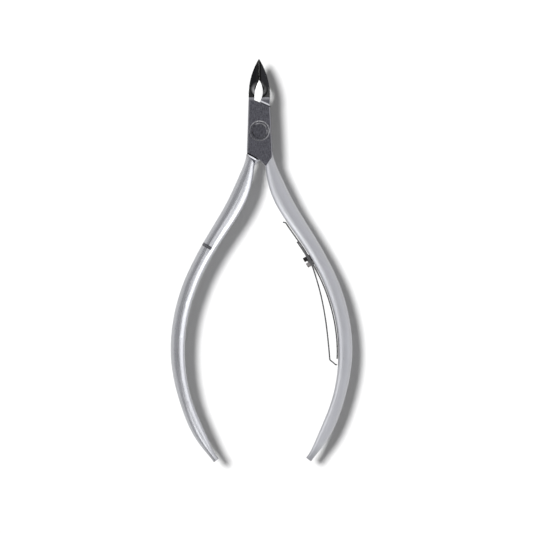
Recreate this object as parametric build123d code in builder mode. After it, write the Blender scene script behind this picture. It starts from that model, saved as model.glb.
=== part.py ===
"""Cuticle nipper: a lap-jointed pair of forged levers with pointed half jaws and a swing-away leaf spring.

Millimetres. The nipper lies on its back face: +Y points from the pivot to the jaw tips, +Z is the
thickness, and the origin is on the pivot axis at the back face. The jaws are closed and the spring
is swung down along the front lever's grip, where it is stored.
"""
from build123d import *
import math
import os

# Joint block: two half-thickness laps that turn on each other
THICKNESS = 6.0  # joint block, back face to front face
LAP_GAP = 0.04  # between the two laps
JOINT_TOP_HALF = 2.9  # half width where the jaws begin
JOINT_BOTTOM_HALF = 3.5  # half width where the grips begin
JAW_ROOT_Y = 9.1  # where the jaws begin
LAP_EDGE_CHAMFER = 0.3
UPPER_SHOULDER = ((-1.31, 8.41), (2.95, 6.47))  # upper edge of the front lap
LOWER_SHOULDER = ((-3.5, -5.75), (-0.25, -7.65))  # lower edge of the front lap, on the far lever's side
LAP_POINT = (1.62, -9.53)  # lowest point of the lap's ground face
GRIP_CORNER_Y = -6.9  # where the ground face meets the grip's outer side
JAW_SHOULDER_GAP = 0.2  # between a lap and the other lever's jaw
GRIP_SHOULDER_GAP = 0.4  # between a lap and the other lever's grip
LAP_SIDE_ROOM = 2.0  # how far a lap's room is cleared beyond its sides
SHOULDER_BEVEL_WIDTH = 0.45
SHOULDER_BEVEL_DEPTH = 0.19
LAND_SPAN = (0.08, 0.86)  # flat ground land under the grip's shoulder, as shares of the shoulder
LAND_CORNERS = ((1.53, -8.85), (2.92, -6.9))  # the land's two corners away from the shoulder

# Jaws
JAW_TIP_Y = 19.7
JAW_ARC_RADIUS = 19.2
JAW_TIP_THICKNESS = 2.2
SEAM_GAP = 0.02  # between the closed cutting edges
JAW_EDGE_CHAMFER = 0.2
BEVEL_HALF_WIDTH = 0.6  # the V ground along the cutting edges
BEVEL_DEPTH = 0.45
WINDOW_TOP_Y = 14.03  # relief window between the jaws
WINDOW_HALF_WIDTH = 0.85
WINDOW_WAIST_Y = 12.0
WINDOW_FOOT = 0.34  # where the window ends along the lap's upper edge, as a share of it
DISH_CENTRE_Y = 11.5  # hollow-ground dish around the window
DISH_RADIUS = 2.35
DISH_DEPTH = 1.1

# Grips: a D section, flat on the inside and round on the outside
GRIP_LENGTH = 83.3  # along Y, from the root to the end
GRIP_BOW = 20.55  # sideways, from the root to the widest place
GRIP_ROOT = (2.35, -6.5)  # centre of the grip's buried root section
# The centre line after the root, as shares of the bow and of the length
GRIP_LINE = (
    (0.07, 0.073),
    (0.19, 0.148),
    (0.43, 0.246),
    (0.80, 0.409),
    (1.0, 0.640),
    (0.90, 0.803),
    (0.50, 1.0),
)
# Where the grip's section is drawn, as shares of the centre line, before and after the spring screw
GRIP_STATIONS = (0.0, 0.04, 0.08, 0.12, 0.18, 0.25), (0.42, 0.52, 0.62, 0.72, 0.82, 0.9, 0.96, 1.0)
GRIP_ROOT_WIDTH = 2.6
GRIP_NECK_WIDTH = 4.5
GRIP_WIDTH = 3.85
GRIP_LOW_WIDTH = 3.3
GRIP_END_WIDTH = 1.7
GRIP_ROOT_DEPTH = 5.7
GRIP_DEPTH = 5.92
GRIP_END_DEPTH = 3.8
GRIP_FLAT = 0.32  # half height of the inner flat, as a share of the depth
GRIP_CROWN = -0.12  # where the crown stands, as a share of the width
NOTCH_DISTANCE = 28.0  # along the grip's centre line, from the root
NOTCH_RADIUS = 0.42  # round bottom
NOTCH_START = -96  # degrees round the outer side where the straight cut starts, past the crown
NOTCH_REACH = 100  # degrees round the outer side that the cut takes

# Pivot: a screw let into the back lap and a threaded bush pressed into the front lap
BUSH_RADIUS = 2.65
PIVOT_RADIUS = 2.0
PIVOT_HEAD_RADIUS = 2.7
PIVOT_HEAD_HEIGHT = 1.2
PIVOT_CLEARANCE = 0.04  # running, radial, between the screw and the back lap
THREAD_CLEARANCE = 0.02
RING_CHAMFER = 0.15
SPANNER_HOLE_RADIUS = 0.4
SPANNER_HOLE_OFFSET = 1.25
SPANNER_HOLE_DEPTH = 0.7

# Spring: two strips on edge, held by one screw on a spring washer
SPRING_SCREW_DISTANCE = 31.0  # along the grip's centre line, from the root
SPRING_SCREW_HEAD_RADIUS = 1.5
SPRING_SCREW_HEAD_HEIGHT = 1.0
SPRING_SCREW_RADIUS = 0.8
SPRING_SCREW_DEPTH = 2.5
SPRING_HOLE_SPARE = 0.3  # hole beyond the screw's end
SPRING_SCREW_SLOT = 0.45
SPRING_SCREW_SLOT_DEPTH = 0.75
SPRING_SCREW_CHAMFER = 0.1
WASHER_THICKNESS = 0.3
WASHER_RADIUS = 1.5
WASHER_SPLIT = 0.4
SPOT_FACE_DEPTH = 0.1  # flat seat for the washer, sunk in the grip's inner side
SPOT_FACE_ROOM = 0.1  # radial, round the washer
SWIVEL_CLEARANCE = 0.05  # radial, between the screw and the strips
STACK_CLEARANCE = 0.02  # axial, between the strips and what clamps them
LEAF_THICKNESS = 0.38
LEAF_WIDTH = 3.0
LEAF_FLAT = 1.8  # straight stretch each side of the screw
LEAF_END_GAP = 0.14  # between the inner strip's ends and the grip
INNER_TAIL = 12.2  # strip above the screw, along the grip
INNER_REACH = 29.6  # strip below the screw, along the grip
LIP_RADIUS = 0.4
LIP_TURN = 45  # degrees
LIP_LENGTH = 0.6
OUTER_TAIL = 6.3
OUTER_REACH = 29.8
OUTER_RISE = 2.0  # how far the outer strip stands off the inner one at most
OUTER_BOW = ((0.18, 0.30), (0.39, 0.68), (0.75, 1.0), (1.0, 0.8))  # shares of the reach and of the rise
HOOK_RADIUS = 0.45
HOOK_TURN = 45  # degrees
HOOK_LENGTH = 1.75
CURL_RADIUS = 0.32
CURL_TURN = 85  # degrees

mid = THICKNESS / 2
lap_floor = mid + LAP_GAP / 2
shoulder_bevel_lean = math.degrees(math.atan(SHOULDER_BEVEL_WIDTH / SHOULDER_BEVEL_DEPTH))
jaw_slope = (THICKNESS - JAW_TIP_THICKNESS) / 2 / (JAW_TIP_Y - JAW_ROOT_Y)
jaw_lean = math.degrees(math.atan(jaw_slope))
dish_ball = (DISH_RADIUS**2 + DISH_DEPTH**2) / (2 * DISH_DEPTH)
dish_lift = dish_ball - DISH_DEPTH
dish_z = THICKNESS - jaw_slope * (DISH_CENTRE_Y - JAW_ROOT_Y)

# The grip's centre line, from its root inside the lap to its end
root_x, root_y = GRIP_ROOT
with BuildLine(Plane.XY.offset(mid)):
    centre_line = Spline(
        GRIP_ROOT,
        *[(root_x + side * GRIP_BOW, root_y - down * GRIP_LENGTH) for side, down in GRIP_LINE],
    )
grip_run = centre_line.length
screw_place = SPRING_SCREW_DISTANCE / grip_run
notch_place = NOTCH_DISTANCE / grip_run


def blend(rows, place):
    """Smoothly read a list of (place, value) rows at a place between them."""
    for (low, start), (high, end) in zip(rows, rows[1:]):
        if place <= high:
            share = (place - low) / (high - low)
            return start + (end - start) * share * share * (3 - 2 * share)
    return rows[-1][1]


def grip_width(place):
    rows = [
        (0.0, GRIP_ROOT_WIDTH),
        (0.12, GRIP_NECK_WIDTH),
        (0.19, GRIP_NECK_WIDTH),
        (0.31, GRIP_WIDTH),
        (0.62, GRIP_WIDTH),
        (0.82, GRIP_LOW_WIDTH),
        (0.88, GRIP_LOW_WIDTH),
        (1.0, GRIP_END_WIDTH),
    ]
    return blend(rows, place)


def grip_depth(place):
    rows = [(0.0, GRIP_ROOT_DEPTH), (0.3, GRIP_DEPTH), (0.7, GRIP_DEPTH), (1.0, GRIP_END_DEPTH)]
    return blend(rows, place)


def outward(place):
    """The sideways direction away from the nipper's middle, square to the centre line."""
    along = centre_line % place
    return Vector(-along.Y, along.X, 0)


def grip_plane(place):
    return Plane(origin=centre_line @ place, x_dir=outward(place), z_dir=centre_line % place)


def inner_face(place, stand_off):
    """A point above the grip's inner flat."""
    return (centre_line @ place) - outward(place) * (grip_width(place) / 2 + stand_off)


def grip_section(width, depth):
    """The grip's D section about its middle: inner flat, rounded corners and a round outer side."""
    crown = GRIP_CROWN * width
    flat = GRIP_FLAT * depth
    inner = crown + width / 2
    outer = width / 2 - crown
    corner = depth / 2 - flat
    with BuildSketch() as section:
        with BuildLine():
            Line((-width / 2, -flat), (-width / 2, flat))
            EllipticalCenterArc((crown, flat), inner, corner, start_angle=90, arc_size=90)
            EllipticalCenterArc((crown, 0), outer, depth / 2, start_angle=0, arc_size=90)
            EllipticalCenterArc((crown, 0), outer, depth / 2, start_angle=270, arc_size=90)
            EllipticalCenterArc((crown, -flat), inner, corner, start_angle=180, arc_size=90)
        make_face()
    return section.sketch


def shifted(points, distance):
    """Two points moved square to the line through them, to the left of its direction."""
    start, end = Vector(*points[0]), Vector(*points[1])
    square = (end - start).normalized().rotate(Axis.Z, 90)
    return start + square * distance, end + square * distance


def stretched(points, distance):
    """Two points moved apart along the line through them."""
    start, end = Vector(*points[0]), Vector(*points[1])
    along = (end - start).normalized()
    return start - along * distance, end + along * distance


# Forging: one lever as it leaves the dies and the grinder, with the front lap, left jaw and right grip
with BuildPart() as lap_plate:
    with BuildSketch(Plane.XY.offset(lap_floor)):
        with BuildLine():
            Polyline(
                (-JOINT_TOP_HALF, JAW_ROOT_Y),
                UPPER_SHOULDER[0],
                UPPER_SHOULDER[1],
                (JOINT_BOTTOM_HALF, GRIP_CORNER_Y),
                LAP_POINT,
                LOWER_SHOULDER[1],
                LOWER_SHOULDER[0],
                close=True,
            )
        make_face()
    extrude(amount=THICKNESS - lap_floor)
    across = lap_plate.edges().group_by(Axis.Z)[-1].sort_by(Axis.X)
    chamfer([across[0], across[-1]], LAP_EDGE_CHAMFER)

with BuildPart() as jaw:
    with BuildSketch():
        with BuildLine():
            RadiusArc((-JOINT_TOP_HALF, JAW_ROOT_Y), (-SEAM_GAP / 2, JAW_TIP_Y), JAW_ARC_RADIUS)
            Polyline(
                (-SEAM_GAP / 2, JAW_TIP_Y),
                (-SEAM_GAP / 2, UPPER_SHOULDER[1][1]),
                (-JOINT_TOP_HALF, UPPER_SHOULDER[1][1]),
                (-JOINT_TOP_HALF, JAW_ROOT_Y),
            )
        make_face()
    extrude(amount=THICKNESS)
    chamfer(jaw.edges().filter_by(GeomType.CIRCLE), JAW_EDGE_CHAMFER)
    jaw_run = 2 * (JAW_TIP_Y - JAW_ROOT_Y)
    with BuildSketch(Plane.YZ.offset(-2 * JOINT_TOP_HALF)):
        for face_z, fall in ((THICKNESS, -jaw_slope * jaw_run), (0, jaw_slope * jaw_run)):
            with BuildLine():
                Polyline(
                    (JAW_ROOT_Y, face_z),
                    (JAW_ROOT_Y + jaw_run, face_z + fall),
                    (JAW_ROOT_Y + jaw_run, face_z - fall),
                    (JAW_ROOT_Y, face_z - fall),
                    close=True,
                )
            make_face()
    extrude(amount=3 * JOINT_TOP_HALF, mode=Mode.SUBTRACT)

with BuildPart() as grip:
    for station in GRIP_STATIONS[0] + (screw_place,) + GRIP_STATIONS[1]:
        with BuildSketch(grip_plane(station)):
            add(grip_section(grip_width(station), grip_depth(station)))
    loft()


# What the other lever's lap needs: everything between its shoulders, on its side of the joint
jaw_edge = stretched(shifted(UPPER_SHOULDER, JAW_SHOULDER_GAP), LAP_SIDE_ROOM)
grip_edge = stretched(shifted(LOWER_SHOULDER, -GRIP_SHOULDER_GAP), LAP_SIDE_ROOM)
point_edge = shifted((LOWER_SHOULDER[1], LAP_POINT), -GRIP_SHOULDER_GAP)
with BuildPart() as lap_room:
    with BuildSketch() as lap_room_outline:
        with BuildLine():
            Polyline(
                (-jaw_edge[0].X, jaw_edge[0].Y),
                (-jaw_edge[1].X, jaw_edge[1].Y),
                (-JOINT_BOTTOM_HALF - LAP_SIDE_ROOM, LAP_POINT[1]),
                (-point_edge[1].X, point_edge[1].Y),
                (-point_edge[0].X, point_edge[0].Y),
                (-grip_edge[0].X, grip_edge[0].Y),
                close=True,
            )
        make_face()
    extrude(amount=lap_floor)
    with BuildSketch():
        offset(lap_room_outline.sketch, amount=SHOULDER_BEVEL_WIDTH, kind=Kind.INTERSECTION)
    extrude(amount=SHOULDER_BEVEL_DEPTH, taper=shoulder_bevel_lean)

with BuildPart() as lever_forging:
    add(grip.part)
    # The ground land beside the grip's shoulder, on the back
    with BuildSketch():
        with BuildLine():
            shoulder = Line(*shifted(LOWER_SHOULDER, -GRIP_SHOULDER_GAP), mode=Mode.PRIVATE)
            Polyline(
                *[(-(shoulder @ share).X, (shoulder @ share).Y) for share in LAND_SPAN],
                *LAND_CORNERS,
                close=True,
            )
        make_face()
    extrude(amount=mid)
    add(jaw.part)
    add(lap_room.part, mode=Mode.SUBTRACT)
    add(lap_plate.part)
    # The V ground along the cutting edge, front and back
    for face_z, lean in ((THICKNESS, -jaw_lean), (0, jaw_lean)):
        depth = BEVEL_DEPTH if face_z else -BEVEL_DEPTH
        along_jaw = Vector(0, 1, 0).rotate(Axis.X, lean)
        with BuildSketch(Plane(origin=(0, JAW_ROOT_Y, face_z), x_dir=(1, 0, 0), z_dir=along_jaw)):
            with BuildLine():
                Polyline((-BEVEL_HALF_WIDTH, 0), (0, depth), (BEVEL_HALF_WIDTH, 0), close=True)
            make_face()
        extrude(amount=2 * (JAW_TIP_Y - JAW_ROOT_Y), mode=Mode.SUBTRACT)
    # The dish around the window, front and back
    for ball_z in (dish_z + dish_lift, THICKNESS - dish_z - dish_lift):
        with Locations((0, DISH_CENTRE_Y, ball_z)):
            Sphere(dish_ball, mode=Mode.SUBTRACT)
    # The notch: a straight cut over the grip's round outer side, from its middle to the crown at the back
    crown_x = GRIP_CROWN * grip_width(notch_place)
    with BuildLine(grip_plane(notch_place), mode=Mode.PRIVATE) as round_side:
        EllipticalCenterArc(
            (crown_x, 0),
            grip_width(notch_place) / 2 - crown_x,
            grip_depth(notch_place) / 2,
            start_angle=NOTCH_START,
            arc_size=NOTCH_REACH,
        )
    crown_end, middle_end = round_side.line @ 0, round_side.line @ 1
    with BuildSketch(Plane(origin=crown_end, x_dir=centre_line % notch_place, z_dir=middle_end - crown_end)):
        with Locations((0, NOTCH_RADIUS)):
            Circle(NOTCH_RADIUS)
        with Locations((0, 2 * NOTCH_RADIUS)):
            Rectangle(2 * NOTCH_RADIUS, 2 * NOTCH_RADIUS)
    extrude(amount=(middle_end - crown_end).length, mode=Mode.SUBTRACT)

# Relief window between the jaws, cut through both levers
with BuildPart() as window:
    with BuildSketch():
        with BuildLine():
            top = (0, WINDOW_TOP_Y)
            foot = Line(*UPPER_SHOULDER, mode=Mode.PRIVATE) @ WINDOW_FOOT
            Spline(top, (-WINDOW_HALF_WIDTH, WINDOW_WAIST_Y), UPPER_SHOULDER[0])
            Line(UPPER_SHOULDER[0], foot)
            Spline(foot, (WINDOW_HALF_WIDTH, WINDOW_WAIST_Y), top)
        make_face()
    extrude(amount=THICKNESS)

# The spring screw's axis: square to the grip's inner flat, with height counted inwards from the spot face
grip_direction = centre_line % screw_place
screw_seat = Plane(
    origin=inner_face(screw_place, -SPOT_FACE_DEPTH),
    x_dir=grip_direction,
    z_dir=-outward(screw_place),
)
inner_seat = WASHER_THICKNESS + STACK_CLEARANCE
outer_seat = inner_seat + LEAF_THICKNESS + STACK_CLEARANCE
head_seat = outer_seat + LEAF_THICKNESS + STACK_CLEARANCE

with BuildPart() as front_lever:
    add(lever_forging.part)
    add(window.part, mode=Mode.SUBTRACT)
    with BuildSketch(Plane.XY.offset(lap_floor)):
        Circle(BUSH_RADIUS + THREAD_CLEARANCE)
    extrude(amount=THICKNESS, mode=Mode.SUBTRACT)
    with BuildSketch(Plane.XY.offset(THICKNESS)):
        Circle(BUSH_RADIUS + THREAD_CLEARANCE + RING_CHAMFER)
    extrude(amount=-RING_CHAMFER, taper=45, mode=Mode.SUBTRACT)
    with BuildSketch(screw_seat):
        Circle(WASHER_RADIUS + SPOT_FACE_ROOM)
    extrude(amount=WASHER_THICKNESS, mode=Mode.SUBTRACT)
    with BuildSketch(screw_seat):
        Circle(SPRING_SCREW_RADIUS + THREAD_CLEARANCE)
    extrude(amount=-SPRING_SCREW_DEPTH - SPRING_HOLE_SPARE, mode=Mode.SUBTRACT)
front_lever.part.label = "front_lever"

with BuildPart() as rear_lever:
    with Locations(Location((0, 0, THICKNESS), (0, 180, 0))):
        add(lever_forging.part)
    add(window.part, mode=Mode.SUBTRACT)
    with BuildSketch():
        Circle(PIVOT_HEAD_RADIUS + PIVOT_CLEARANCE)
    extrude(amount=PIVOT_HEAD_HEIGHT + STACK_CLEARANCE, mode=Mode.SUBTRACT)
    with BuildSketch():
        Circle(PIVOT_RADIUS + PIVOT_CLEARANCE)
    extrude(amount=THICKNESS, mode=Mode.SUBTRACT)
rear_lever.part.label = "rear_lever"

with BuildPart() as pivot_bush:
    with BuildSketch(Plane.XY.offset(lap_floor)):
        Circle(BUSH_RADIUS)
        Circle(PIVOT_RADIUS + THREAD_CLEARANCE, mode=Mode.SUBTRACT)
    extrude(amount=THICKNESS - lap_floor)
    bush_wall = BUSH_RADIUS - PIVOT_RADIUS - THREAD_CLEARANCE
    chamfer(pivot_bush.edges().group_by(Axis.Z)[-1], min(RING_CHAMFER, bush_wall / 3))
pivot_bush.part.label = "pivot_bush"

with BuildPart() as pivot_screw:
    with BuildSketch():
        Circle(PIVOT_HEAD_RADIUS)
    extrude(amount=PIVOT_HEAD_HEIGHT)
    with BuildSketch(Plane.XY.offset(PIVOT_HEAD_HEIGHT)):
        Circle(PIVOT_RADIUS)
    extrude(amount=THICKNESS - PIVOT_HEAD_HEIGHT)
    ends = pivot_screw.edges().group_by(Axis.Z)
    chamfer(ends[0] + ends[-1], RING_CHAMFER)
    with BuildSketch():
        with Locations((-SPANNER_HOLE_OFFSET, 0), (SPANNER_HOLE_OFFSET, 0)):
            Circle(SPANNER_HOLE_RADIUS)
    extrude(amount=SPANNER_HOLE_DEPTH, mode=Mode.SUBTRACT)
pivot_screw.part.label = "pivot_screw"

with BuildPart() as spring_screw:
    with BuildSketch(screw_seat.offset(head_seat)):
        Circle(SPRING_SCREW_HEAD_RADIUS)
    extrude(amount=SPRING_SCREW_HEAD_HEIGHT)
    head_face = spring_screw.faces().sort_by(Axis(screw_seat.origin, screw_seat.z_dir))[-1]
    chamfer(head_face.edges(), SPRING_SCREW_CHAMFER)
    with BuildSketch(screw_seat.offset(-SPRING_SCREW_DEPTH)):
        Circle(SPRING_SCREW_RADIUS)
    extrude(amount=SPRING_SCREW_DEPTH + head_seat)
    with BuildSketch(screw_seat.offset(head_seat + SPRING_SCREW_HEAD_HEIGHT)):
        Rectangle(SPRING_SCREW_SLOT, 3 * SPRING_SCREW_HEAD_RADIUS)
    extrude(amount=-SPRING_SCREW_SLOT_DEPTH, mode=Mode.SUBTRACT)
spring_screw.part.label = "spring_screw"

with BuildPart() as spring_washer:
    with BuildSketch(screw_seat.offset(STACK_CLEARANCE / 2)):
        Circle(WASHER_RADIUS)
        Circle(SPRING_SCREW_RADIUS + SWIVEL_CLEARANCE, mode=Mode.SUBTRACT)
        with Locations((0, WASHER_RADIUS)):
            Rectangle(WASHER_SPLIT, 2 * WASHER_RADIUS, mode=Mode.SUBTRACT)
    extrude(amount=WASHER_THICKNESS)
spring_washer.part.label = "spring_washer"


def beside_grip(distance, height):
    """A point on a strip's route: so far along the grip from the screw, so high above the inner flat."""
    return inner_face(screw_place + distance / grip_run, height + LEAF_THICKNESS / 2)


def beside_screw(distance, height):
    """A point on a strip's straight stretch under the screw's head."""
    return screw_seat.from_local_coords((distance, 0, height + LEAF_THICKNESS / 2))


def screw_eye():
    """The plug that a strip loses to its hole for the screw."""
    with BuildPart(mode=Mode.PRIVATE) as eye:
        with BuildSketch(screw_seat):
            Circle(SPRING_SCREW_RADIUS + SWIVEL_CLEARANCE)
        extrude(amount=head_seat + LEAF_THICKNESS)
    return eye.part


with BuildPart() as spring_inner_leaf:
    with BuildLine(Plane.XY.offset(mid)) as inner_route:
        tail = Spline(
            beside_grip(-INNER_TAIL, LEAF_END_GAP),
            beside_grip(-INNER_TAIL / 2, (inner_seat + LEAF_END_GAP) / 2),
            beside_screw(-LEAF_FLAT, inner_seat),
            tangents=(centre_line % (screw_place - INNER_TAIL / grip_run), grip_direction),
        )
        lip = JernArc(tail @ 0, -(tail % 0), LIP_RADIUS, LIP_TURN)
        Line(lip @ 1, (lip @ 1) + (lip % 1) * LIP_LENGTH)
        Line(beside_screw(-LEAF_FLAT, inner_seat), beside_screw(LEAF_FLAT, inner_seat))
        Spline(
            beside_screw(LEAF_FLAT, inner_seat),
            *[beside_grip(share * INNER_REACH, LEAF_END_GAP) for share in (0.4, 0.7, 1.0)],
            tangents=(grip_direction, centre_line % (screw_place + INNER_REACH / grip_run)),
        )
    with BuildSketch(Plane(origin=inner_route.wire() @ 0, x_dir=(0, 0, 1), z_dir=inner_route.wire() % 0)):
        Rectangle(LEAF_WIDTH, LEAF_THICKNESS)
    sweep(path=inner_route.wire())
    add(screw_eye(), mode=Mode.SUBTRACT)
spring_inner_leaf.part.label = "spring_inner_leaf"

with BuildPart() as spring_outer_leaf:
    with BuildLine(Plane.XY.offset(mid)) as outer_route:
        outer_lift = LEAF_THICKNESS + STACK_CLEARANCE
        Spline(
            beside_grip(-OUTER_TAIL, (inner_seat + LEAF_END_GAP) / 2 + outer_lift),
            beside_screw(-LEAF_FLAT, outer_seat),
            tangents=(centre_line % (screw_place - OUTER_TAIL / grip_run), grip_direction),
        )
        Line(beside_screw(-LEAF_FLAT, outer_seat), beside_screw(LEAF_FLAT, outer_seat))
        blade = Spline(
            beside_screw(LEAF_FLAT, outer_seat),
            *[
                beside_grip(reach * OUTER_REACH, LEAF_END_GAP + outer_lift + rise * OUTER_RISE)
                for reach, rise in OUTER_BOW
            ],
        )
        bend = JernArc(blade @ 1, blade % 1, HOOK_RADIUS, HOOK_TURN)
        hook = Line(bend @ 1, (bend @ 1) + (bend % 1) * HOOK_LENGTH)
        JernArc(hook @ 1, hook % 1, CURL_RADIUS, CURL_TURN)
    with BuildSketch(Plane(origin=outer_route.wire() @ 0, x_dir=(0, 0, 1), z_dir=outer_route.wire() % 0)):
        Rectangle(LEAF_WIDTH, LEAF_THICKNESS)
    sweep(path=outer_route.wire())
    add(screw_eye(), mode=Mode.SUBTRACT)
spring_outer_leaf.part.label = "spring_outer_leaf"

pieces = (
    front_lever,
    rear_lever,
    pivot_bush,
    pivot_screw,
    spring_inner_leaf,
    spring_outer_leaf,
    spring_screw,
    spring_washer,
)
os.makedirs("parts", exist_ok=True)
for piece in pieces:
    export_step(piece.part, f"parts/{piece.part.label}.step")
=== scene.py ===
"""Cuticle nipper a little above a white sweep, seen from straight above."""
import math

import bpy
import numpy as np
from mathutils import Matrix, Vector

MM = 0.001

# Nodes
FRONT, REAR = "front_lever", "rear_lever"
LEAVES = ("spring_inner_leaf", "spring_outer_leaf")

# Places on the nipper, in millimetres in the row frame
THICKNESS = 6.0
FACE_TOLERANCE = 0.02  # a ground face lies this close to the front or back plane
GAP_SHADE_DEPTH = 0.5  # painted shade in the gaps starts this far below those planes
JAW_ROOT_Y = 9.1  # the black coat starts here
DISH_Y = 11.5
DISH_TOP_Y = 13.6
DISH_RADII = (2.35, 1.7)  # the dish's level fades in between these
PIVOT_RIM_RADII = (2.95, 2.85)  # the laps' painted rim highlight fades in between these
GRIP_TOP_Y = -10.0  # below this a lever is all grip
GRIP_ROWS = 40  # rows of vertices that give a grip's middle line
GRIP_BAND = 1.5  # a row takes in the vertices this far above and below it
GRIP_CURVE_DEGREE = 7
GRIP_RUN_STEPS = 400  # for the length along the middle line
GRIP_END_Y = -90.3
GRIP_END_FADE = (5.0, 0.5)  # painted shade: the satin darkens between these distances from the end
JOINT_FOOT_Y = -6.5
NOTCH = (-14.11, -31.63, 3.0)  # the grip's middle at the rear lever's notch
NOTCH_MOUTH = (-15.1, -31.0, 4.7)
NOTCH_ALONG = (-0.517, -0.856, 0.0)  # the grip's direction there
NOTCH_HALF_LENGTHS = (0.46, 0.40)  # its painted shade fades in between these, along the grip
NOTCH_REACHES = (2.6, 2.2)  # and between these, from its mouth
SCREW_Y = -35.6  # the middle of the spring screw's head

# Colours
SATIN = (0.588, 0.595, 0.620)
GROUND = (0.125, 0.125, 0.142)
BARE = (0.42, 0.42, 0.44)  # lighter steel, at the coat's worn edges and in a band just below the coat
RIM_HIGHLIGHT = (0.85, 0.85, 0.86)  # painted highlight on the pivot's rims
SIDE_AND_END_SHADE = (0.30, 0.30, 0.32)  # the joint's bevels and sides, and painted shade at the grips' ends
COAT = (0.042, 0.042, 0.042)
# painted shade in the rear lever's notch and in the gaps between the laps
PAINTED_SHADE = (0.10, 0.10, 0.11)
SPRING = (0.42, 0.42, 0.43)
STRIP_EDGE = (0.20, 0.20, 0.20)
OXIDE = (0.06, 0.056, 0.055)
# painted highlight on the lower half of the spring screw's head
OXIDE_HIGHLIGHT = (0.46, 0.43, 0.42)

# Light
FLOOR_SIZE = 6  # metres
FLOOR_WHITE = 0.85
FLOOR_REFLECTED = 0.62  # the sweep's level in reflections, set dimmer than the camera sees it
FLOOR_DROP = 8.0  # the sweep lies this far below the nipper, so the shadow falls beside it
SUN_TOWARDS = Vector((-0.268, 0.139, 1.0))  # from the nipper to the sun
SUN_STRENGTH = 3.3
SUN_ANGLE = 11.4
SHADOW_LIGHT = 0.235  # what still reaches the floor in the shadow
SKY_STOPS = (  # the sky's level from the left, at -1, to the right, at 1
    (-1.0, 0.52),
    (-0.85, 0.44),
    (-0.45, 0.34),
    (-0.1, 0.48),
    (0.2, 0.68),
    (0.85, 0.72),
    (1.0, 0.88),
)
SKY_NEAR = (1.5, 1.5, 1.54)  # the sky beyond the grips' ends
WINDOW_HEIGHT = 200  # of the lamp above the window between the jaws
WINDOW_BEAM = 3.0  # the beam's radius at the nipper
WINDOW_Y = 10.9
WINDOW_POWER = 1.6
PANELS = (  # name, direction from the nipper, strength, angle across, levers that reflect it
    ("right_panel", (1, -0.4, 1), 0.55, 60, [REAR]),
    ("high_right_panel", (0.5, -0.65, 1), 0.75, 45, [REAR]),
    ("high_left_panel", (-0.25, 0.45, 1), 0.27, 30, [REAR]),
    ("left_panel", (-1, -0.5, 0.8), 0.42, 60, [FRONT]),
    ("low_left_panel", (-1, 0.75, 0.9), 0.6, 60, [FRONT]),
    ("near_panel", (-0.4, -0.9, 1), 0.8, 45, [FRONT, REAR]),
    ("far_panel", (0.5, 0.86, 1.1), 0.45, 40, [REAR]),
)

# Camera
CAMERA_PLACE = (1.56, -37.0, 1620)
CAMERA_ROLL = -0.51  # degrees
CAMERA_LENS = 400
CAMERA_SENSOR = 36

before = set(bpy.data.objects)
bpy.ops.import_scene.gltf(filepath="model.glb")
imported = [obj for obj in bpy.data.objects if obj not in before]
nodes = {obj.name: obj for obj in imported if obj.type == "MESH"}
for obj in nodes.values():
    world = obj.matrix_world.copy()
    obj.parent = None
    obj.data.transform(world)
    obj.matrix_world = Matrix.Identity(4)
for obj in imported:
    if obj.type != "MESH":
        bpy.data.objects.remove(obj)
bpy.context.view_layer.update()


# ---------------------------------------------------------------- node graphs
class Graph:
    """A material or world being wired up."""

    def __init__(self, owner):
        owner.use_nodes = True
        self.tree = owner.node_tree

    def add(self, kind, *inputs, **settings):
        """Adds a node, makes its settings, and feeds its inputs in order; None leaves one alone."""
        node = self.tree.nodes.new(kind)
        for name, value in settings.items():
            setattr(node, name, value)
        for socket, value in zip(node.inputs, inputs):
            self.feed(socket, value)
        return node

    def feed(self, socket, value):
        if isinstance(value, bpy.types.NodeSocket):
            self.tree.links.new(value, socket)
        elif value is not None:
            socket.default_value = value

    def math(self, operation, first, second=None, third=None):
        return self.add("ShaderNodeMath", first, second, third, operation=operation).outputs[0]

    def span(self, value, low, high, start=0.0, end=1.0):
        """Smoothly maps low..high to start..end."""
        return self.add(
            "ShaderNodeMapRange", value, low, high, start, end, interpolation_type="SMOOTHSTEP"
        ).outputs[0]

    def blend(self, share, first, second):
        """Mixes two colours."""
        node = self.add("ShaderNodeMix", data_type="RGBA")
        for index, value in ((0, share), (6, first), (7, second)):
            self.feed(node.inputs[index], value)
        return node.outputs[2]

    def noise(self, vector, stretch, detail=2.0):
        """Noise on millimetre coordinates, stretch in features a millimetre along each axis."""
        scaled = self.add("ShaderNodeVectorMath", vector, stretch, operation="MULTIPLY").outputs[0]
        return self.add("ShaderNodeTexNoise", scaled, None, 1.0, detail).outputs[0]

    def bump(self, height, depth, normal=None):
        """Surface relief, depth in millimetres for a height of 0 to 1."""
        node = self.add("ShaderNodeBump", 1.0)
        node.inputs["Distance"].default_value = depth * MM
        self.feed(node.inputs["Height"], height)
        self.feed(node.inputs["Normal"], normal)
        return node.outputs[0]


def colour(rgb, level=1.0):
    return (*[channel * level for channel in rgb], 1)


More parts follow.
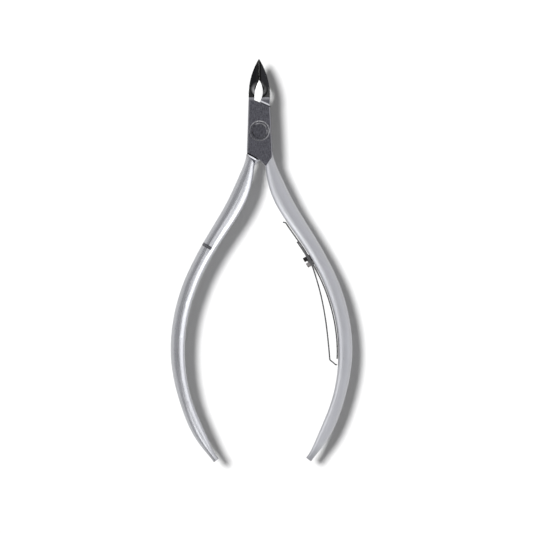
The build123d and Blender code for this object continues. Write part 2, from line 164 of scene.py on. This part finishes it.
class Metal(Graph):
    """A metal material. It starts with the object's own coordinates in millimetres."""

    def __init__(self, name):
        self.material = bpy.data.materials.new(name)
        super().__init__(self.material)
        self.shader = self.tree.nodes["Principled BSDF"]
        self.shader.inputs["Metallic"].default_value = 1.0
        place = self.add("ShaderNodeTexCoord")
        facing = self.add("ShaderNodeSeparateXYZ", place.outputs["Normal"]).outputs[2]
        self.upright = self.math("ABSOLUTE", facing)  # 1 where the surface faces the front or the back
        self.place = self.millimetres(place.outputs["Object"])
        self.x, self.y, self.z = self.add("ShaderNodeSeparateXYZ", self.place).outputs

    def millimetres(self, vector):
        return self.add("ShaderNodeVectorMath", vector, (1 / MM,) * 3, operation="MULTIPLY").outputs[0]

    def away_from(self, centre, squeeze=(1.0, 1.0, 1.0)):
        """Distance in millimetres from a place, each axis weighted."""
        offset = self.add("ShaderNodeVectorMath", self.place, centre, operation="SUBTRACT").outputs[0]
        offset = self.add("ShaderNodeVectorMath", offset, squeeze, operation="MULTIPLY").outputs[0]
        return self.add("ShaderNodeVectorMath", offset, operation="LENGTH").outputs["Value"]

    def edges(self, radius):
        """1 along sharp edges, fading over a radius in millimetres."""
        soft = self.add("ShaderNodeBevel", radius * MM, samples=6).outputs[0]
        sharp = self.add("ShaderNodeNewGeometry").outputs["Normal"]
        agreement = self.add("ShaderNodeVectorMath", soft, sharp, operation="DOT_PRODUCT").outputs["Value"]
        return self.span(agreement, 0.99, 0.88)

    def finish(self, base, roughness, normal):
        for name, value in (("Base Color", base), ("Roughness", roughness), ("Normal", normal)):
            self.feed(self.shader.inputs[name], value)
        return self.material


# ---------------------------------------------------------------- grip coordinates
def lay_grip_space(node):
    """Gives a lever's vertices a place in millimetres across, up and along its grip, for the brushing."""
    points = np.array([vertex.co for vertex in node.data.vertices]) / MM
    grip = points[points[:, 1] < GRIP_TOP_Y]
    rows = np.linspace(grip[:, 1].min() + 0.5, GRIP_TOP_Y, GRIP_ROWS)
    middle = []
    for row in rows:
        near = grip[abs(grip[:, 1] - row) < GRIP_BAND, 0]
        middle.append((near.min() + near.max()) / 2)
    line = np.polynomial.Polynomial.fit(rows, middle, GRIP_CURVE_DEGREE)
    height = np.linspace(grip[:, 1].min(), points[:, 1].max(), GRIP_RUN_STEPS)
    slope = np.where(height < GRIP_TOP_Y, line.deriv()(height), 0)
    run = np.concatenate([[0], np.cumsum(np.hypot(1, slope[1:]) * np.diff(height))])
    level = np.minimum(points[:, 1], GRIP_TOP_Y)
    across = (points[:, 0] - line(level)) / np.hypot(1, line.deriv()(level))
    along = np.interp(points[:, 1], height, run)
    values = np.stack([across, points[:, 2], along], axis=1).astype(np.float32)
    attribute = node.data.attributes.new("grip_space", "FLOAT_VECTOR", "POINT")
    attribute.data.foreach_set("vector", values.ravel())


# ---------------------------------------------------------------- materials
def lever_metal(name, roughness, dish):
    """Satin grips, ground joint faces and black jaws, as one forging carries them."""
    metal = Metal(name)
    grip_space = metal.add("ShaderNodeAttribute", attribute_name="grip_space").outputs["Vector"]
    streaks = metal.noise(grip_space, (5.0, 5.0, 0.12), 3.0)
    hairs = metal.noise(grip_space, (16.0, 16.0, 0.3), 2.0)
    clouds = metal.noise(grip_space, (0.35, 0.35, 0.12), 2.0)
    grain = metal.noise(metal.place, (9.0, 9.0, 9.0), 2.0)
    ground_lines = metal.noise(metal.place, (4.0, 1.1, 2.0), 3.0)
    cross_lines = metal.noise(metal.place, (1.5, 6.0, 2.0), 3.0)

    # Where each finish is
    off_middle = metal.math("ABSOLUTE", metal.math("SUBTRACT", metal.z, THICKNESS / 2))
    flat = metal.math("GREATER_THAN", off_middle, THICKNESS / 2 - FACE_TOLERANCE)
    coated = metal.math("GREATER_THAN", metal.y, JAW_ROOT_Y)
    near_coat = metal.span(metal.y, JAW_ROOT_Y - 1.1, JAW_ROOT_Y)
    joint = metal.span(metal.y, JOINT_FOOT_Y - 1.5, JOINT_FOOT_Y + 0.5)
    radius = metal.away_from((0.0, DISH_Y, 0.0), (1.0, 1.0, 0.0))
    low_dish = metal.span(metal.y, DISH_TOP_Y, JAW_ROOT_Y + 0.6)
    in_dish = metal.math("MULTIPLY", metal.span(radius, *DISH_RADII), low_dish)
    worn = metal.edges(0.12)
    # Painted shade in the rear lever's notch
    from_notch = metal.add("ShaderNodeVectorMath", metal.place, NOTCH, operation="SUBTRACT").outputs[0]
    projection = metal.add("ShaderNodeVectorMath", from_notch, NOTCH_ALONG, operation="DOT_PRODUCT")
    along = projection.outputs["Value"]
    notch_shade = metal.math(
        "MULTIPLY",
        metal.span(metal.math("ABSOLUTE", along), *NOTCH_HALF_LENGTHS),
        metal.span(metal.away_from(NOTCH_MOUTH), *NOTCH_REACHES),
    )
    # Painted shade in the gaps between the laps
    deep = metal.math("LESS_THAN", off_middle, THICKNESS / 2 - GAP_SHADE_DEPTH)
    level_ground = metal.math("GREATER_THAN", metal.upright, 0.9)
    above_grips = metal.math("GREATER_THAN", metal.y, JOINT_FOOT_Y - 1.3)
    gap_shade = metal.math("MULTIPLY", metal.math("MULTIPLY", deep, level_ground), above_grips)
    near_seam = metal.span(metal.math("ABSOLUTE", metal.x), 0.7, 0.35)

    # Colour
    satin = metal.blend(metal.span(clouds, 0.35, 0.65), colour(SATIN, 0.95), colour(SATIN, 1.05))
    satin = metal.blend(metal.span(streaks, 0.3, 0.7), satin, colour(SATIN))
    marks = metal.math("MULTIPLY", metal.math("ADD", ground_lines, cross_lines), 0.5)
    ground = metal.blend(metal.span(marks, 0.38, 0.62), colour(GROUND, 0.65), colour(GROUND, 1.35))
    ground = metal.blend(metal.math("MULTIPLY", near_coat, 0.9), ground, colour(BARE))
    coat = metal.blend(metal.span(grain, 0.35, 0.7), colour(COAT, 0.8), colour(COAT, 1.3))
    # Painted shade along the seam between the jaws
    coat = metal.blend(metal.math("MULTIPLY", near_seam, 0.6), coat, colour(COAT, 0.3))
    # The dish's grey is partly bare steel and partly a painted reflection, set per lever and fading
    # towards the dish's top
    coat = metal.blend(in_dish, coat, colour((dish, dish, dish)))
    away_from_seam = metal.math("SUBTRACT", 0.3, metal.math("MULTIPLY", near_seam, 0.3))
    coat = metal.blend(metal.math("MULTIPLY", worn, away_from_seam), coat, colour(BARE))
    # Painted shade towards each grip's end
    fade_from, fade_to = [GRIP_END_Y + distance for distance in GRIP_END_FADE]
    grip_end_shade = metal.span(metal.y, fade_from, fade_to, 0.0, 0.6)
    satin = metal.blend(grip_end_shade, satin, colour(SIDE_AND_END_SHADE))
    satin = metal.blend(joint, satin, colour(SIDE_AND_END_SHADE))
    satin = metal.blend(notch_shade, satin, colour(PAINTED_SHADE, 2.0))
    # A painted highlight on the laps' rims around the pivot
    from_pivot = metal.away_from((0.0, 0.0, 0.0), (1.0, 1.0, 0.0))
    pivot_rim = metal.span(from_pivot, *PIVOT_RIM_RADII)
    satin = metal.blend(metal.math("MULTIPLY", pivot_rim, joint), satin, colour(RIM_HIGHLIGHT, 0.75))
    base = metal.blend(flat, satin, ground)
    base = metal.blend(coated, base, coat)
    base = metal.blend(gap_shade, base, colour(PAINTED_SHADE, 0.2))

    # Roughness
    rough = metal.span(streaks, 0.25, 0.75, roughness - 0.05, roughness + 0.06)
    rough = metal.math("ADD", rough, metal.span(hairs, 0.3, 0.7, -0.02, 0.02))
    relief = metal.math("ADD", metal.math("MULTIPLY", hairs, 0.5), metal.math("MULTIPLY", streaks, 0.6))
    normal = metal.bump(relief, 0.004)
    grinding = metal.math("ADD", ground_lines, metal.math("MULTIPLY", cross_lines, 0.5))
    normal = metal.bump(metal.math("MULTIPLY", grinding, flat), 0.004, normal)
    return metal.finish(base, rough, normal)


def ground_metal(name, rim):
    """The pivot's ends, ground flush with the laps, with painted highlights on their rims."""
    metal = Metal(name)
    lines = metal.noise(metal.place, (4.0, 1.1, 2.0), 3.0)
    arcs = metal.noise(metal.place, (1.2, 1.2, 1.2), 2.0)
    base = metal.blend(metal.span(lines, 0.35, 0.65), colour(GROUND, 0.7), colour(GROUND, 1.35))
    # A painted highlight on the rims, set by place, brightest at their upper right
    upper_right = metal.span(metal.math("ADD", metal.x, metal.y), -3.0, 2.5, 0.25, 1.0)
    patchy = metal.math("MULTIPLY", upper_right, metal.span(arcs, 0.3, 0.55, 0.4, 1.0))
    highlighted_rims = metal.blend(patchy, base, colour(RIM_HIGHLIGHT, rim))
    base = metal.blend(metal.math("GREATER_THAN", metal.z, THICKNESS - 0.01), highlighted_rims, base)
    rough = metal.span(arcs, 0.3, 0.7, 0.24, 0.34)
    normal = metal.bump(metal.math("ADD", lines, arcs), 0.004)
    return metal.finish(base, rough, normal)


def spring_metal(name):
    """Cold-rolled spring strip."""
    metal = Metal(name)
    rolled = metal.noise(metal.place, (1.0, 0.4, 14.0), 3.0)
    base = metal.blend(metal.span(rolled, 0.3, 0.7), colour(SPRING, 0.85), colour(SPRING, 1.1))
    base = metal.blend(metal.span(metal.upright, 0.8, 0.95), base, colour(STRIP_EDGE))
    rough = metal.span(rolled, 0.3, 0.7, 0.2, 0.3)
    return metal.finish(base, rough, metal.bump(rolled, 0.003))


def oxide_metal(name):
    """Black-oxide screw and washer."""
    metal = Metal(name)
    grain = metal.noise(metal.place, (8.0, 8.0, 8.0), 3.0)
    base = metal.blend(metal.span(grain, 0.35, 0.7), colour(OXIDE, 0.7), colour(OXIDE, 1.4))
    # A painted highlight: the lower half of the head is set brighter, by place
    lower_half = metal.span(metal.y, SCREW_Y + 0.1, SCREW_Y - 0.4)
    head_highlight = metal.math("MULTIPLY", lower_half, metal.span(grain, 0.3, 0.6))
    base = metal.blend(head_highlight, base, colour(OXIDE_HIGHLIGHT))
    rough = metal.span(grain, 0.3, 0.7, 0.28, 0.42)
    return metal.finish(base, rough, metal.bump(grain, 0.006))


def dress(names, material):
    """Puts one material on some CAD nodes."""
    for name in names:
        mesh = nodes[name].data
        mesh.materials.clear()
        mesh.materials.append(material)


# ---------------------------------------------------------------- stage
def floor():
    """The white sweep."""
    bpy.ops.mesh.primitive_plane_add(size=FLOOR_SIZE, location=(0, 0, -FLOOR_DROP * MM))
    plane = bpy.context.object
    plane.name = "floor"
    material = bpy.data.materials.new("floor_white")
    graph = Graph(material)
    shader = graph.tree.nodes["Principled BSDF"]
    glossy = graph.add("ShaderNodeLightPath").outputs["Is Glossy Ray"]
    white, seen_white = colour((1, 1, 1), FLOOR_WHITE), colour((1, 1, 1), FLOOR_REFLECTED)
    graph.feed(shader.inputs["Base Color"], graph.blend(glossy, white, seen_white))
    shader.inputs["Roughness"].default_value = 1.0
    shader.inputs["Specular IOR Level"].default_value = 0.0
    plane.data.materials.append(material)


def camera():
    """A long lens straight above."""
    data = bpy.data.cameras.new("camera")
    data.lens = CAMERA_LENS
    data.sensor_width = CAMERA_SENSOR
    cam = bpy.data.objects.new("camera", data)
    bpy.context.scene.collection.objects.link(cam)
    cam.location = Vector(CAMERA_PLACE) * MM
    cam.rotation_euler = (0, 0, math.radians(CAMERA_ROLL))
    bpy.context.scene.camera = cam


def sky():
    """Bands of grey from left to right for reflections, a dim fill on the floor, and white behind all."""
    world = bpy.data.worlds.new("studio")
    bpy.context.scene.world = world
    graph = Graph(world)
    background = graph.tree.nodes["Background"]
    direction = graph.add("ShaderNodeTexCoord").outputs["Generated"]
    sideways, lengthways = graph.add("ShaderNodeSeparateXYZ", direction).outputs[:2]
    ramp = graph.add("ShaderNodeValToRGB", graph.add("ShaderNodeMapRange", sideways, -1.0, 1.0).outputs[0])
    points = ramp.color_ramp.elements
    while len(points) < len(SKY_STOPS):
        points.new(0.5)
    for point, (side, level) in zip(points, SKY_STOPS):
        point.position = (side + 1) / 2
        point.color = (level, level, level * 1.03, 1)
    near_end = graph.span(lengthways, -0.7, -0.98)
    around = graph.blend(near_end, ramp.outputs[0], colour(SKY_NEAR))
    rays = graph.add("ShaderNodeLightPath").outputs
    fill = graph.blend(rays["Is Diffuse Ray"], around, colour((1, 1, 1), SHADOW_LIGHT))
    graph.feed(background.inputs[0], graph.blend(rays["Is Camera Ray"], fill, colour((1, 1, 1))))


def sun(name, towards, strength, angle):
    """A distant lamp, angle degrees across."""
    data = bpy.data.lights.new(name, "SUN")
    data.energy = strength
    data.angle = math.radians(angle)
    lamp = bpy.data.objects.new(name, data)
    bpy.context.scene.collection.objects.link(lamp)
    lamp.rotation_euler = towards.to_track_quat("Z", "Y").to_euler()
    return lamp


def group(name, members):
    """A collection for light linking."""
    collection = bpy.data.collections.new(name)
    for member in members:
        collection.objects.link(member)
    return collection


def panel(name, towards, strength, angle, seen_by):
    """A broad distant softbox that lights only some nodes."""
    lamp = sun(name, towards, strength, angle)
    lamp.light_linking.receiver_collection = group(name, [nodes[node] for node in seen_by])


def window_light():
    """A narrow beam straight down through the window between the jaws, for the white sweep below."""
    data = bpy.data.lights.new("window", "SPOT")
    data.energy = WINDOW_POWER
    data.spot_size = 2 * math.atan(WINDOW_BEAM / WINDOW_HEIGHT)
    data.spot_blend = 0.2
    data.shadow_soft_size = 0.0005
    lamp = bpy.data.objects.new("window", data)
    bpy.context.scene.collection.objects.link(lamp)
    lamp.location = Vector((0, WINDOW_Y, WINDOW_HEIGHT)) * MM
    lamp.light_linking.receiver_collection = group("window_floor", [bpy.data.objects["floor"]])


def key_light():
    """The lamp that casts the shadow. The steel doesn't mirror it, and the strips don't block it."""
    lamp = sun("key", SUN_TOWARDS, SUN_STRENGTH, SUN_ANGLE)
    lamp.visible_glossy = False
    casters = [nodes[name] for name in nodes if name not in LEAVES]
    lamp.light_linking.blocker_collection = group("casters", casters)


# ---------------------------------------------------------------- the scene
for lever in (FRONT, REAR):
    lay_grip_space(nodes[lever])
# dish sets each lever's dish grey, partly bare steel and partly a painted reflection
dress([FRONT], lever_metal("front_lever_metal", roughness=0.40, dish=0.62))
dress([REAR], lever_metal("rear_lever_metal", roughness=0.27, dish=0.30))
dress(["pivot_bush"], ground_metal("pivot_bush_metal", rim=1.0))
dress(["pivot_screw"], ground_metal("pivot_screw_metal", rim=0.6))
dress(LEAVES, spring_metal("spring_metal"))
dress(["spring_screw", "spring_washer"], oxide_metal("screw_metal"))

floor()
camera()
sky()
key_light()
for name, towards, strength, angle, seen_by in PANELS:
    panel(name, Vector(towards), strength, angle, seen_by)
window_light()
bpy.context.scene.view_settings.view_transform = "Standard"
